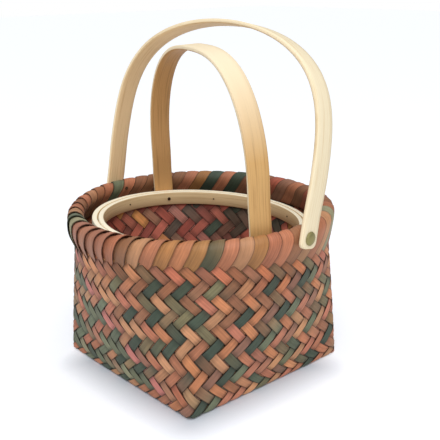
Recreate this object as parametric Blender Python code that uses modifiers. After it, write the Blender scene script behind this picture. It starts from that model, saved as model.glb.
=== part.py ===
"""Nested pair of plaited wood-strip baskets, each with a bentwood handle on rivets.

The larger basket has a square base, a round mouth and a folded strip border.
The smaller one stands inside it, turned and leaning a little, with a rim of two wooden hoops.
Metres, +Z up, origin at the centre of the larger basket's base.
"""
import math
from dataclasses import dataclass

import bmesh
import bpy
from mathutils import Matrix, Vector

# Larger basket: plaited shell
BASE_SIDE = 0.1675
BASE_CORNER_RADIUS = 0.0042
BASE_EDGE_RADIUS = 0.0032
RIDGE_RADIUS = 0.1050
RIDGE_HEIGHT = 0.1383
WEAVE_THICKNESS = 0.0024
WALL_TOP_GAP = 0.0021
WALL_STRAIGHT_TOP = 0.0100
STRIPS_PER_SIDE = 13

# Larger basket: border of folded strip ends
BORDER_WIDTH = 0.0120
BORDER_DEPTH = 0.0220
BORDER_SIDE_DROP = 0.0105
BORDER_INNER_DEPTH = 0.0170
FOLD_THICKNESS = 0.0012
FOLD_RELIEF = 0.0008
TOOTH_DEPTH = 0.0045
BORDER_FIT = 0.0005
FOLDS_PER_GROUP = 2
GROUP_GAP = 0.0003

# Handles: flat bentwood bands
BAND_WIDTH = 0.0182
BAND_THICKNESS = 0.0034
BAND_EDGE = 0.0006
BAND_END_ROUND = 0.0048
BAND_BELOW_PIVOT = 0.0079
HANDLE_FIT = 0.0004
OUTER_HANDLE_GAP = 0.0018

# Larger handle
PIVOT_DROP = 0.0065
HANDLE_RISE = 0.1543
HANDLE_SPREAD = 0.0012
LEG_STRAIGHT = 0.0100
LEG_SPREAD_HEIGHT = 0.0370
ARCH_START = 0.0158
HANDLE_TURN = math.radians(4.0)
HANDLE_LEAN = math.radians(12.1)

# Rivets of both handles
RIVET_HEAD_RADIUS = 0.0054
RIVET_HEAD_HEIGHT = 0.0022
RIVET_RADIUS = 0.0011
RIVET_TAIL_RADIUS = 0.0015
RIVET_TAIL_HEIGHT = 0.0005
RIVET_CLEARANCE = 0.0003
SEAT_GAP = 0.0003

# Smaller basket, nested in the larger one
NEST_FLOOR_GAP = 0.0003
NEST_BASE_GAP = 0.0225
NEST_RIM_GAP = 0.0065
NEST_RIM_PLACE = (0.0002, 0.0014)
NEST_RIM_DROP = 0.0139
NEST_TURN = math.radians(-14.9)
NEST_TILT = math.radians(3.2)
NEST_DOWNHILL = math.radians(62.5)
INNER_WEAVE_THICKNESS = 0.0018
INNER_BASE_CORNER_RADIUS = 0.0060
INNER_STRIPS_PER_SIDE = 10

# Smaller basket: rim of two hoops held by pins
HOOP_HEIGHT = 0.0120
OUTSIDE_HOOP_THICKNESS = 0.0036
INSIDE_HOOP_THICKNESS = 0.0034
HOOP_EDGE = 0.0006
HOOP_FIT = 0.0004
STRIP_END_DROP = 0.0008
PIN_RADIUS = 0.0007
PIN_PROUD = 0.0003
PIN_CLEARANCE = 0.0003
PIN_COUNT = 6
PIN_START = math.radians(26.5)

# Smaller handle
INNER_HANDLE_RISE = 0.1470
INNER_HANDLE_SPREAD = -0.0010
INNER_LEG_STRAIGHT = 0.0210
INNER_LEG_SPREAD_HEIGHT = 0.0220
INNER_ARCH_START = 0.0542
INNER_HANDLE_LEAN = math.radians(-5.6)
INNER_PIVOT_OFFSET = 0.0050

# Shapes without a unit
WALL_FLARE = 1.2
HANDLE_POWERS = (2.04, 4.13)
INNER_HANDLE_POWERS = (2.64, 2.02)
FOLD_SLANT = 1.6
TOOTH_SHARES = (0.0, 0.6, 1.0)
RELIEF_SHARES = (0.0, 0.5, 1.0)
BAND_END_SHARES = (0.0, 0.12, 0.45, 1.0)
DOME_SHARES = ((0.45, 0.93), (0.80, 0.65), (0.97, 0.30))
ROLL_DEGREES = (0.0, 50.0, 90.0, 130.0, 180.0)
UNDER_ROLL_DEGREES = (180.0, 130.0, 50.0, 0.0)

# Mesh counts
WALL_RINGS = 7
EDGE_RINGS = 2
FOLD_STEPS = len(TOOTH_SHARES)
ARCH_SAMPLES = 400
LEG_SAMPLES = 10
BAND_SECTIONS = 42
ROUND_SIDES = 16
HOOP_SIDES = 64
PIN_SIDES = 8

# Overrun of a cutter past the faces that it cuts
CUT_OVERRUN = 0.0020
MERGE_DISTANCE = 0.00001


@dataclass(frozen=True)
class Shell:
    """A plaited shell: square base, round mouth, all sizes of its outer face."""
    side: float
    corner: float
    edge: float
    mouth_radius: float
    top: float
    straight_top: float
    thickness: float
    strips: int


OUTER = Shell(
    side=BASE_SIDE,
    corner=BASE_CORNER_RADIUS,
    edge=BASE_EDGE_RADIUS,
    mouth_radius=RIDGE_RADIUS + WEAVE_THICKNESS / 2,
    top=RIDGE_HEIGHT - FOLD_THICKNESS - WALL_TOP_GAP,
    straight_top=WALL_STRAIGHT_TOP,
    thickness=WEAVE_THICKNESS,
    strips=STRIPS_PER_SIDE,
)
BORDER_OUTER_RADIUS = RIDGE_RADIUS + BORDER_WIDTH / 2 + FOLD_RELIEF
BORDER_INNER_RADIUS = RIDGE_RADIUS - BORDER_WIDTH / 2 - FOLD_RELIEF

HOOP_OUTER_RADIUS = BORDER_INNER_RADIUS - NEST_RIM_GAP
WEAVE_OUTER_RADIUS = HOOP_OUTER_RADIUS - OUTSIDE_HOOP_THICKNESS - HOOP_FIT
WEAVE_INNER_RADIUS = WEAVE_OUTER_RADIUS - INNER_WEAVE_THICKNESS
HOOP_INNER_RADIUS = WEAVE_INNER_RADIUS - HOOP_FIT - INSIDE_HOOP_THICKNESS

NEST_FLOOR = WEAVE_THICKNESS + NEST_FLOOR_GAP
INNER_SIDE = BASE_SIDE - 2 * NEST_BASE_GAP
NEST_REACH = abs(math.cos(NEST_DOWNHILL - NEST_TURN)) + abs(math.sin(NEST_DOWNHILL - NEST_TURN))
NEST_LIFT = INNER_SIDE / 2 * NEST_REACH * math.sin(NEST_TILT)
INNER_TOP = (RIDGE_HEIGHT - NEST_RIM_DROP - NEST_FLOOR - NEST_LIFT) / math.cos(NEST_TILT)
INNER = Shell(
    side=INNER_SIDE,
    corner=INNER_BASE_CORNER_RADIUS,
    edge=BASE_EDGE_RADIUS,
    mouth_radius=WEAVE_OUTER_RADIUS,
    top=INNER_TOP - STRIP_END_DROP,
    straight_top=HOOP_HEIGHT,
    thickness=INNER_WEAVE_THICKNESS,
    strips=INNER_STRIPS_PER_SIDE,
)


@dataclass(frozen=True)
class Handle:
    """A bent band: its middle line runs from leg to leg over the arch."""
    pivot_half: float
    rise: float
    spread: float
    leg_straight: float
    spread_height: float
    arch_start: float
    powers: tuple


OUTER_ARCH = Handle(
    pivot_half=BORDER_OUTER_RADIUS + OUTER_HANDLE_GAP + BAND_THICKNESS / 2,
    rise=HANDLE_RISE,
    spread=HANDLE_SPREAD,
    leg_straight=LEG_STRAIGHT,
    spread_height=LEG_SPREAD_HEIGHT,
    arch_start=ARCH_START,
    powers=HANDLE_POWERS,
)
INNER_ARCH = Handle(
    pivot_half=HOOP_OUTER_RADIUS + HANDLE_FIT + BAND_THICKNESS / 2,
    rise=INNER_HANDLE_RISE,
    spread=INNER_HANDLE_SPREAD,
    leg_straight=INNER_LEG_STRAIGHT,
    spread_height=INNER_LEG_SPREAD_HEIGHT,
    arch_start=INNER_ARCH_START,
    powers=INNER_HANDLE_POWERS,
)


def clear_scene():
    """Remove what the start-up scene holds."""
    for item in list(bpy.data.objects):
        bpy.data.objects.remove(item, do_unlink=True)


def new_collection(name):
    """Add a collection to the scene."""
    collection = bpy.data.collections.new(name)
    bpy.context.scene.collection.children.link(collection)
    return collection


def material(name, color, roughness, metallic=0.0):
    """Make a plain Principled material."""
    item = bpy.data.materials.new(name)
    item.use_nodes = True
    shader = item.node_tree.nodes["Principled BSDF"]
    shader.inputs["Base Color"].default_value = (*color, 1.0)
    shader.inputs["Roughness"].default_value = roughness
    shader.inputs["Metallic"].default_value = metallic
    return item


def mesh_object(name, bm, collection, finish=None, parent=None, matrix=None):
    """Turn a bmesh into a named object, placed under its parent."""
    mesh = bpy.data.meshes.new(name)
    bm.to_mesh(mesh)
    bm.free()
    item = bpy.data.objects.new(name, mesh)
    collection.objects.link(item)
    if finish is not None:
        mesh.materials.append(finish)
    item.parent = parent
    if matrix is not None:
        item.matrix_local = matrix
    return item


def smooth(item, degrees=35.0):
    """Shade a piece smooth, with its sharp edges kept."""
    item.data.shade_smooth()
    item.data.set_sharp_from_angle(angle=math.radians(degrees))


def empty(name, collection, parent, matrix):
    """Add an empty that carries a group of pieces."""
    item = bpy.data.objects.new(name, None)
    collection.objects.link(item)
    item.parent = parent
    item.matrix_local = matrix
    return item


def square_point(half, corner, turn):
    """Point at a share of the way round a square with rounded corners, four sides in all."""
    quarter, share = divmod(turn, 1.0)
    along = (2 * share - 1) * half
    end = half - abs(along)
    x, y = half, along
    if end < corner:
        angle = math.radians(45.0) * (1 - end / corner)
        centre = half - corner
        x = centre + corner * math.cos(angle)
        y = math.copysign(centre + corner * math.sin(angle), along)
    return Matrix.Rotation(quarter * math.pi / 2, 2) @ Vector((x, y))


def shell_point(shell, turn, height):
    """Point of a shell's outer face, at a share of the way round and a height."""
    tuck = 0.0
    if height < shell.edge:
        tuck = shell.edge - math.sqrt(shell.edge ** 2 - (shell.edge - height) ** 2)
    half = shell.side / 2 - tuck
    corner = max(shell.corner - tuck, shell.edge - tuck / 2)
    square = square_point(half, corner, turn)
    angle = (turn - 0.5) * math.pi / 2
    circle = Vector((math.cos(angle), math.sin(angle))) * shell.mouth_radius
    rise = min(height / (shell.top - shell.straight_top), 1.0)
    blend = rise ** WALL_FLARE
    flat = square.lerp(circle, blend)
    return Vector((flat.x, flat.y, height))


def shell_turns(shell):
    """Places round a shell: one at each strip crossing, and more at the corners."""
    corner = shell.corner / shell.side
    crossings = [step / shell.strips for step in range(1, shell.strips)]
    side = [0.0, corner / 2, corner, *crossings, 1 - corner, 1 - corner / 2]
    return [quarter + share for quarter in range(4) for share in side]


def shell_heights(shell):
    """Heights of a shell's rings, from the base to the top edge."""
    bend = [
        shell.edge * (1 - math.cos(math.pi / 2 * step / EDGE_RINGS))
        for step in range(EDGE_RINGS + 1)
    ]
    start = shell.top - shell.straight_top
    wall = [shell.edge + (start - shell.edge) * step / WALL_RINGS for step in range(1, WALL_RINGS)]
    return [*bend, *wall, start, shell.top]


def plaited_shell(name, shell, collection, finish, parent=None):
    """Square base and flaring walls as one open surface, thickened inwards."""
    bm = bmesh.new()
    turns = shell_turns(shell)
    rings = [
        [bm.verts.new(shell_point(shell, turn, height)) for turn in turns]
        for height in shell_heights(shell)
    ]
    bm.faces.new(list(reversed(rings[0])))
    count = len(turns)
    for low, high in zip(rings, rings[1:]):
        for index in range(count):
            after = (index + 1) % count
            bm.faces.new((low[index], low[after], high[after], high[index]))
    item = mesh_object(name, bm, collection, finish, parent)
    wall = item.modifiers.new("wall", "SOLIDIFY")
    wall.thickness = shell.thickness
    wall.offset = -1.0
    wall.use_even_offset = True
    smooth(item)
    return item


def loft(sections):
    """Skin closed sections, capped at both ends."""
    bm = bmesh.new()
    rows = [[bm.verts.new(point) for point in section] for section in sections]
    bm.faces.new(rows[0])
    bm.faces.new(list(reversed(rows[-1])))
    count = len(rows[0])
    for row, next_row in zip(rows, rows[1:]):
        for index in range(count):
            after = (index + 1) % count
            bm.faces.new((row[index], next_row[index], next_row[after], row[after]))
    bmesh.ops.recalc_face_normals(bm, faces=bm.faces)
    return bm


def border_depth(turn):
    """Depth of the border's outer skirt, which hangs lower at the left and right corners."""
    side_share = (1 - math.cos(math.pi * turn)) / 2
    return BORDER_DEPTH + BORDER_SIDE_DROP * side_share


def border_section(step):
    """Section of the hollow border: outer face from outside to inside, then its underside."""
    turn = step / (FOLD_STEPS * STRIPS_PER_SIDE)
    angle = (turn - 0.5) * math.pi / 2
    out = Vector((math.cos(angle), math.sin(angle), 0.0))
    tooth = TOOTH_DEPTH * TOOTH_SHARES[int(step % FOLD_STEPS)]
    low = RIDGE_HEIGHT - border_depth(turn) + tooth
    inner_low = RIDGE_HEIGHT - BORDER_INNER_DEPTH + tooth
    skirt = BORDER_FIT + FOLD_THICKNESS
    roll = BORDER_WIDTH / 2
    centre = RIDGE_HEIGHT - roll
    middle = (low + centre) / 2
    inner_middle = (inner_low + centre) / 2

    def on_wall(height, away):
        point = shell_point(OUTER, turn, height)
        return point + out * away

    def on_roll(degrees, radius):
        bend = math.radians(degrees)
        place = out * (RIDGE_RADIUS + radius * math.cos(bend))
        place.z = centre + radius * math.sin(bend)
        return place

    inside = -WEAVE_THICKNESS
    swell = (roll - WEAVE_THICKNESS / 2 - skirt) / 2
    face = [
        on_wall(low, skirt),
        on_wall(middle, skirt + swell),
        *[on_roll(degrees, roll) for degrees in ROLL_DEGREES],
        on_wall(inner_middle, inside - skirt - swell),
        on_wall(inner_low, inside - skirt),
    ]
    under_roll = roll - FOLD_THICKNESS
    under = [
        on_wall(inner_low, inside - BORDER_FIT),
        on_wall(inner_middle, inside - BORDER_FIT - swell),
        *[on_roll(degrees, under_roll) for degrees in UNDER_ROLL_DEGREES],
        on_wall(middle, BORDER_FIT + swell),
        on_wall(low, BORDER_FIT),
    ]
    last = len(face) - 1
    middle_line = out * RIDGE_RADIUS
    middle_line.z = centre
    for index, point in enumerate(face):
        phase = (step - FOLD_SLANT * index) % FOLD_STEPS
        share = RELIEF_SHARES[int(phase)]
        if 0 < index < last:
            push = point - middle_line
            face[index] = point + push.normalized() * FOLD_RELIEF * share
    return face + under


def folded_border(index, collection, finish):
    """One group of strip ends folded over the larger basket's edge, just short of the next."""
    steps = FOLD_STEPS * FOLDS_PER_GROUP
    start = index * steps
    step_length = math.pi / 2 * RIDGE_RADIUS / (FOLD_STEPS * STRIPS_PER_SIDE)
    places = [*range(start, start + steps), start + steps - GROUP_GAP / step_length]
    bm = loft([border_section(place) for place in places])
    return mesh_object(f"outer_border_folds_{index + 1:02d}", bm, collection, finish)


def ease(share):
    """Smooth step from 0 to 1."""
    share = min(max(share, 0.0), 1.0)
    return share * share * (3 - 2 * share)


def half_arch(handle):
    """Half of a handle's middle line, from the right leg's end to the top."""
    full = handle.pivot_half + handle.spread
    across, up = handle.powers
    rise = handle.rise - handle.arch_start
    points = [Vector((full, -BAND_BELOW_PIVOT)), Vector((full, 0.0))]
    leg = [handle.arch_start * step / LEG_SAMPLES for step in range(1, LEG_SAMPLES)]
    points += [Vector((full, height)) for height in leg]
    for step in range(ARCH_SAMPLES + 1):
        angle = math.pi / 2 * step / ARCH_SAMPLES
        x = full * math.cos(angle) ** (2 / across) if step < ARCH_SAMPLES else 0.0
        z = handle.arch_start + rise * math.sin(angle) ** (2 / up)
        points.append(Vector((x, z)))
    narrowed = []
    for point in points:
        share = (point.y - handle.leg_straight) / handle.spread_height
        inset = handle.spread * (1 - ease(share)) * (point.x / full)
        narrowed.append(Vector((point.x - inset, point.y)))
    return narrowed


def resample(points, lengths):
    """Points of a polyline at given lengths along it, each with its direction."""
    places = []
    total = 0.0
    index = 0
    for length in lengths:
        while index < len(points) - 2:
            step = (points[index + 1] - points[index]).length
            if total + step >= length:
                break
            total += step
            index += 1
        direction = (points[index + 1] - points[index]).normalized()
        places.append((points[index] + direction * (length - total), direction))
    return places


def band(name, handle, collection, finish, parent, bores):
    """Bent band with rounded ends, bored for its rivets."""
    half = half_arch(handle)
    mirrored = [Vector((-point.x, point.y)) for point in reversed(half[:-1])]
    line = half + mirrored
    length = sum((b - a).length for a, b in zip(line, line[1:]))
    ends = [BAND_END_ROUND * share for share in BAND_END_SHARES]
    inner = length - 2 * BAND_END_ROUND
    body = [BAND_END_ROUND + inner * step / BAND_SECTIONS for step in range(1, BAND_SECTIONS)]
    stations = [*ends, *body, *[length - end for end in reversed(ends)]]
    sections = []
    for station, (point, direction) in zip(stations, resample(line, stations)):
        from_end = min(station, length - station, BAND_END_ROUND)
        rest = BAND_END_ROUND - from_end
        narrowing = BAND_END_ROUND - math.sqrt(BAND_END_ROUND ** 2 - rest ** 2)
        wide = BAND_WIDTH / 2 - narrowing
        thick = BAND_THICKNESS / 2
        out = Vector((direction.y, -direction.x))
        corners = [
            (thick, wide - BAND_EDGE), (thick - BAND_EDGE, wide),
            (BAND_EDGE - thick, wide), (-thick, wide - BAND_EDGE),
            (-thick, BAND_EDGE - wide), (BAND_EDGE - thick, -wide),
            (thick - BAND_EDGE, -wide), (thick, BAND_EDGE - wide),
        ]
        sections.append([
            Vector((point.x + out.x * away, across, point.y + out.y * away))
            for away, across in corners
        ])
    item = mesh_object(name, loft(sections), collection, finish, parent)
    for bore in bores:
        cut(item, bore)
    smooth(item)
    return item


def turned(name, profile, sides, collection, finish, parent=None, matrix=None, closed=False):
    """Turn a profile of radius and height about the local Z axis."""
    bm = bmesh.new()
    verts = [bm.verts.new((radius, 0.0, height)) for radius, height in profile]
    for first, second in zip(verts, verts[1:]):
        bm.edges.new((first, second))
    if closed:
        bm.edges.new((verts[-1], verts[0]))
    item = mesh_object(name, bm, collection, finish, parent, matrix)
    screw = item.modifiers.new("turn", "SCREW")
    screw.steps = sides
    screw.render_steps = sides
    screw.use_merge_vertices = True
    screw.merge_threshold = MERGE_DISTANCE
    screw.use_smooth_shade = True
    return item


def outward(distance, side):
    """Frame whose Z axis points along the parent's X axis, out to one side."""
    turn = Matrix.Rotation(side * math.pi / 2, 4, "Y")
    return Matrix.Translation((side * distance, 0.0, 0.0)) @ turn


def bore_cutter(name, radius, start, end, side, collection, parent):
    """Round cutter along the parent's X axis on one side."""
    bm = bmesh.new()
    bmesh.ops.create_cone(
        bm, cap_ends=True, segments=ROUND_SIDES,
        radius1=radius, radius2=radius, depth=end - start,
    )
    item = mesh_object(name, bm, collection, None, parent, outward((start + end) / 2, side))
    return hide_cutter(item)


def hide_cutter(item):
    """Show a cutter as wire only."""
    item.hide_render = True
    item.display_type = "WIRE"
    return item


def cut(item, cutter):
    """Cut a piece with a cutter."""
    modifier = item.modifiers.new(cutter.name, "BOOLEAN")
    modifier.operation = "DIFFERENCE"
    modifier.solver = "EXACT"
    modifier.object = cutter


def rivet(name, seat, inside, side, collection, finish, parent):
    """Rivet with a domed head on the band, a shank and a tail set inside."""
    head = RIVET_HEAD_HEIGHT
    grip = seat - inside
    profile = [(0.0, head)]
    profile += [(RIVET_HEAD_RADIUS * out, head * up) for out, up in DOME_SHARES]
    profile += [
        (RIVET_HEAD_RADIUS, 0.0),
        (RIVET_RADIUS, 0.0),
        (RIVET_RADIUS, -grip),
        (RIVET_TAIL_RADIUS, -grip),
        (RIVET_TAIL_RADIUS, -grip - RIVET_TAIL_HEIGHT),
        (0.0, -grip - RIVET_TAIL_HEIGHT),
    ]
    return turned(name, profile, ROUND_SIDES, collection, finish, parent, outward(seat, side))


def hoop(name, outer_radius, thickness, collection, finish, parent):
    """Wooden hoop of the smaller basket's rim, with eased edges."""
    inner_radius = outer_radius - thickness
    low = INNER_TOP - HOOP_HEIGHT
    profile = [
        (outer_radius - HOOP_EDGE, INNER_TOP),
        (outer_radius, INNER_TOP - HOOP_EDGE),
        (outer_radius, low + HOOP_EDGE),
        (outer_radius - HOOP_EDGE, low),
        (inner_radius + HOOP_EDGE, low),
        (inner_radius, low + HOOP_EDGE),
        (inner_radius, INNER_TOP - HOOP_EDGE),
        (inner_radius + HOOP_EDGE, INNER_TOP),
    ]
    return turned(name, profile, HOOP_SIDES, collection, finish, parent, closed=True)


def pin(name, radius, start, end, angle, collection, finish, parent):
    """Round pin through both hoops, at an angle round the rim."""
    bm = bmesh.new()
    bmesh.ops.create_cone(
        bm, cap_ends=True, segments=PIN_SIDES,
        radius1=radius, radius2=radius, depth=end - start,
    )
    height = INNER_TOP - HOOP_HEIGHT / 2
    place = Matrix.Rotation(angle, 4, "Z")
    place @= Matrix.Translation((0.0, 0.0, height)) @ outward((start + end) / 2, 1)
    return mesh_object(name, bm, collection, finish, parent, place)


def build_outer_basket(parts, cutters, finishes):
    """Larger basket with its border, handle and rivets."""
    pivot = Matrix.Translation((0.0, 0.0, RIDGE_HEIGHT - PIVOT_DROP))
    pivot @= Matrix.Rotation(HANDLE_TURN, 4, "Z")
    axis = empty("outer_rivet_line", parts, None, pivot)
    lean = empty("outer_handle_pivot", parts, axis, Matrix.Rotation(-HANDLE_LEAN, 4, "X"))

    body = plaited_shell("outer_body", OUTER, parts, finishes["strips"])
    groups = 4 * STRIPS_PER_SIDE // FOLDS_PER_GROUP
    folds = [folded_border(index, parts, finishes["border"]) for index in range(groups)]

    tail_seat = BORDER_INNER_RADIUS - SEAT_GAP
    head_seat = OUTER_ARCH.pivot_half + BAND_THICKNESS / 2 + SEAT_GAP
    hole = RIVET_RADIUS + RIVET_CLEARANCE
    bores = []
    for label, side, quarter in (("right", 1, 0.5), ("left", -1, 2.5)):
        turn = quarter + HANDLE_TURN / (math.pi / 2)
        wall_bore = bore_cutter(
            f"outer_wall_bore_{label}", hole, tail_seat - CUT_OVERRUN, OUTER_ARCH.pivot_half,
            side, cutters, axis,
        )
        cut(body, wall_bore)
        cut(folds[int(turn * STRIPS_PER_SIDE / FOLDS_PER_GROUP)], wall_bore)
        bores.append(bore_cutter(
            f"outer_band_bore_{label}", hole, OUTER_ARCH.pivot_half - BAND_THICKNESS,
            OUTER_ARCH.pivot_half + BAND_THICKNESS, side, cutters, lean,
        ))
        rivet(f"outer_rivet_{label}", head_seat, tail_seat, side, parts, finishes["rivet"], axis)
    band("outer_handle", OUTER_ARCH, parts, finishes["band"], lean, bores)


def build_inner_basket(parts, cutters, finishes):
    """Smaller basket with its hoops, pins, handle and rivets."""
    downhill = Vector((math.cos(NEST_DOWNHILL), math.sin(NEST_DOWNHILL), 0.0))
    foot = Vector((*NEST_RIM_PLACE, NEST_FLOOR + NEST_LIFT))
    foot -= downhill * INNER_TOP * math.sin(NEST_TILT)
    place = Matrix.Translation(foot)
    place @= Matrix.Rotation(NEST_TILT, 4, Vector((0.0, 0.0, 1.0)).cross(downhill))
    place @= Matrix.Rotation(NEST_TURN, 4, "Z")
    base = empty("inner_basket_base", parts, None, place)
    rivet_line = Vector((0.0, INNER_PIVOT_OFFSET, INNER_TOP - HOOP_HEIGHT / 2))
    axis = empty("inner_rivet_line", parts, base, Matrix.Translation(rivet_line))
    lean = empty("inner_handle_pivot", parts, axis, Matrix.Rotation(-INNER_HANDLE_LEAN, 4, "X"))

    inside_outer = HOOP_INNER_RADIUS + INSIDE_HOOP_THICKNESS
    ringed = [
        plaited_shell("inner_body", INNER, parts, finishes["inner_strips"], base),
        hoop("inner_hoop_outside", HOOP_OUTER_RADIUS, OUTSIDE_HOOP_THICKNESS,
             parts, finishes["hoop"], base),
        hoop("inner_hoop_inside", inside_outer, INSIDE_HOOP_THICKNESS,
             parts, finishes["hoop"], base),
    ]
    pin_bores = []
    for index in range(PIN_COUNT):
        angle = PIN_START + 2 * math.pi * index / PIN_COUNT
        pin(f"inner_pin_{index + 1:02d}", PIN_RADIUS, HOOP_INNER_RADIUS - PIN_PROUD,
            HOOP_OUTER_RADIUS + PIN_PROUD, angle, parts, finishes["pin"], base)
        pin_bores.append(hide_cutter(pin(
            f"inner_pin_bore_{index + 1:02d}", PIN_RADIUS + PIN_CLEARANCE,
            HOOP_INNER_RADIUS - CUT_OVERRUN, HOOP_OUTER_RADIUS + CUT_OVERRUN,
            angle, cutters, None, base,
        )))

    tail_reach = INNER_PIVOT_OFFSET + RIVET_TAIL_RADIUS
    tail_seat = math.sqrt(HOOP_INNER_RADIUS ** 2 - tail_reach ** 2) - SEAT_GAP
    head_seat = INNER_ARCH.pivot_half + BAND_THICKNESS / 2 + SEAT_GAP
    hole = RIVET_RADIUS + RIVET_CLEARANCE
    bores = []
    for label, side in (("right", 1), ("left", -1)):
        bores.append(bore_cutter(
            f"inner_bore_{label}", hole, tail_seat - CUT_OVERRUN, head_seat + CUT_OVERRUN,
            side, cutters, axis,
        ))
        rivet(f"inner_rivet_{label}", head_seat, tail_seat, side, parts, finishes["rivet"], axis)
    for item in ringed:
        for bore in [*pin_bores, *bores]:
            cut(item, bore)
    band("inner_handle", INNER_ARCH, parts, finishes["band"], lean, bores)


def main():
    """Build the pair of baskets."""
    clear_scene()
    parts = new_collection("nested_plaited_baskets")
    cutters = new_collection("cutters")
    finishes = {
        "strips": material("dyed_strips", (0.56, 0.25, 0.15), 0.62),
        "border": material("dyed_border", (0.60, 0.29, 0.18), 0.60),
        "inner_strips": material("dark_strips", (0.33, 0.09, 0.07), 0.66),
        "band": material("pale_bentwood", (0.78, 0.62, 0.38), 0.50),
        "hoop": material("hoop_wood", (0.74, 0.57, 0.34), 0.52),
        "rivet": material("aged_brass", (0.42, 0.40, 0.20), 0.40, 0.85),
        "pin": material("dark_iron", (0.07, 0.05, 0.04), 0.55, 0.60),
    }
    build_outer_basket(parts, cutters, finishes)
    build_inner_basket(parts, cutters, finishes)


main()
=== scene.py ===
"""Looks of the nested plaited baskets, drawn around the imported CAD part.

Metres, in the CAD part's frame. Plaited strips replace the plain shells and the plain border.
A strip crossing is one unit of the lattice: U runs round the basket, V runs up the wall.
A rising strip keeps U - V/2, a falling strip keeps U + V/2.
"""
import math

import bpy
import numpy as np
from mathutils import Matrix, Vector


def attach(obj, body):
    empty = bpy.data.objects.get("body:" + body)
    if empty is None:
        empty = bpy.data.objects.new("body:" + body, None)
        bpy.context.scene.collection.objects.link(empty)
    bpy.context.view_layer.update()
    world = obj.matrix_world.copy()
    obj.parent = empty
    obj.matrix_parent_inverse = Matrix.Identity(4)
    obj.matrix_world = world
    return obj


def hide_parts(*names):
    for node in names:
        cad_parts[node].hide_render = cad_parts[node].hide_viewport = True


SEED = 7

# Larger basket: base, ridge of the border, mouth and wall, then its strips and folds
SIDE = 0.1675
CORNER = 0.0042
EDGE = 0.0032
RIDGE_RADIUS = 0.1050
RIDGE_HEIGHT = 0.1383
MOUTH_RADIUS = 0.1062
WALL_TOP = 0.1350
WALL_STRAIGHT = 0.0100
FLARE = 1.2
STRIPS = 13
ROLL_RADIUS = 0.0062
BORDER_FOLDS = 26
FOLD_REACH_DOWN = 0.0215

# Smaller basket: where it stands and how it leans and turns, then its own sizes
NEST_FOOT = (-0.002836, -0.004433, 0.006783)
NEST_TILT = math.radians(3.2)
NEST_DOWNHILL = math.radians(62.5)
NEST_TURN = math.radians(-14.9)
INNER_SIDE = 0.1225
INNER_CORNER = 0.0060
INNER_MOUTH = 0.0877
INNER_TOP = 0.1170
HOOP_TOP = 0.1178
INNER_STRIPS = 10
INNER_ROW = 0.00635
INNER_STRAIGHT = 0.0120

# Rim hoops of the smaller basket: outer radius and thickness
HOOP_HEIGHT = 0.0120
HOOP_EDGE = 0.0007
HOOP_OUTSIDE_SIZE = (0.0917, 0.0043)
HOOP_INSIDE_SIZE = (0.0865, 0.0042)
HOOP_STEPS = 240

# Bent handles: the band, then each arch's pivot, height and shape
BAND_WIDTH = 0.0182
BAND_THICKNESS = 0.0034
BAND_EDGE = 0.0007
BAND_END = 0.0048
BAND_BELOW = 0.0079
BAND_STATIONS = 180
BAND_LOOK = 0.0015
ARCH_STEPS = 400
OUTER_ARCH = {
    "pivot_half": 0.1153, "rise": 0.1543, "spread": 0.0012, "leg_straight": 0.0100,
    "spread_height": 0.0370, "arch_start": 0.0158, "powers": (2.04, 4.13),
}
INNER_ARCH = {
    "pivot_half": 0.0938, "rise": 0.1470, "spread": -0.0010, "leg_straight": 0.0210,
    "spread_height": 0.0220, "arch_start": 0.0542, "powers": (2.64, 2.02),
}
OUTER_PIVOT_HEIGHT = 0.1318
OUTER_PIVOT_TURN = math.radians(4.0)
OUTER_LEAN_ANGLE = math.radians(-12.1)
INNER_PIVOT_FORWARD = 0.0050
INNER_PIVOT_BELOW_HOOP = 0.0060
INNER_LEAN_ANGLE = math.radians(5.6)

# Strips: sizes, small irregularities, the painted shade where a strip dives under another, and the
# rows where they end
STRIP_THICKNESS = 0.00055
WEAVE_RISE = 0.00070
STRIP_HALF = 0.456
STEPS_PER_CROSSING = 3
STRIP_CROWN = 0.00012
STRIP_TILT = 0.00007
STRIP_WANDER = 0.02
GRAIN_REACH = 40.0
CROSSING_SHADE = 0.5
OUTER_WALL_ROWS = 21.6
INNER_WALL_ROWS = 17.5
INNER_FLAT_ROW = 17.0
BASE_INSET = 0.0012
BASE_SHORT = 0.004
BASE_STRIP_HALF = 0.478
BASE_RISE = 0.00034

# Colours of the dyes, as seen in plain light, then each strip's dyes from bottom to top
DYES = {
    "S": (193, 130, 102), "O": (200, 137, 100), "B": (156, 112, 86), "T": (200, 152, 118),
    "N": (136, 114, 90), "G": (68, 86, 76), "E": (116, 128, 108), "K": (198, 131, 110),
    "M": (162, 118, 102), "P": (212, 160, 122), "V": (122, 118, 92), "C": (190, 142, 78),
    "Q": (186, 134, 114), "L": (166, 168, 142), "Y": (176, 130, 84), "R": (176, 100, 82),
    "D": (140, 72, 60), "W": (112, 60, 52), "H": (64, 76, 64),
    "I": (214, 142, 136),
}
RISING = {
    -16: "ET", -15: "TT", -14: "KKT", -13: "EEEV", -12: "SKKT", -11: "SSBB", -10: "EEGG",
    -9: "STBB", -8: "GGGG", -7: "TVNM", -6: "GGVE", -5: "TGGB", -4: "STTT", -3: "SSBS",
    -2: "SGGG", -1: "OOOO", 0: "MMMM", 1: "GGGG", 2: "EEE", 3: "KKK", 4: "KMM", 5: "PP",
    6: "VEV", 7: "TT", 8: "KK", 9: "SS", 10: "GG",
}
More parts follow.
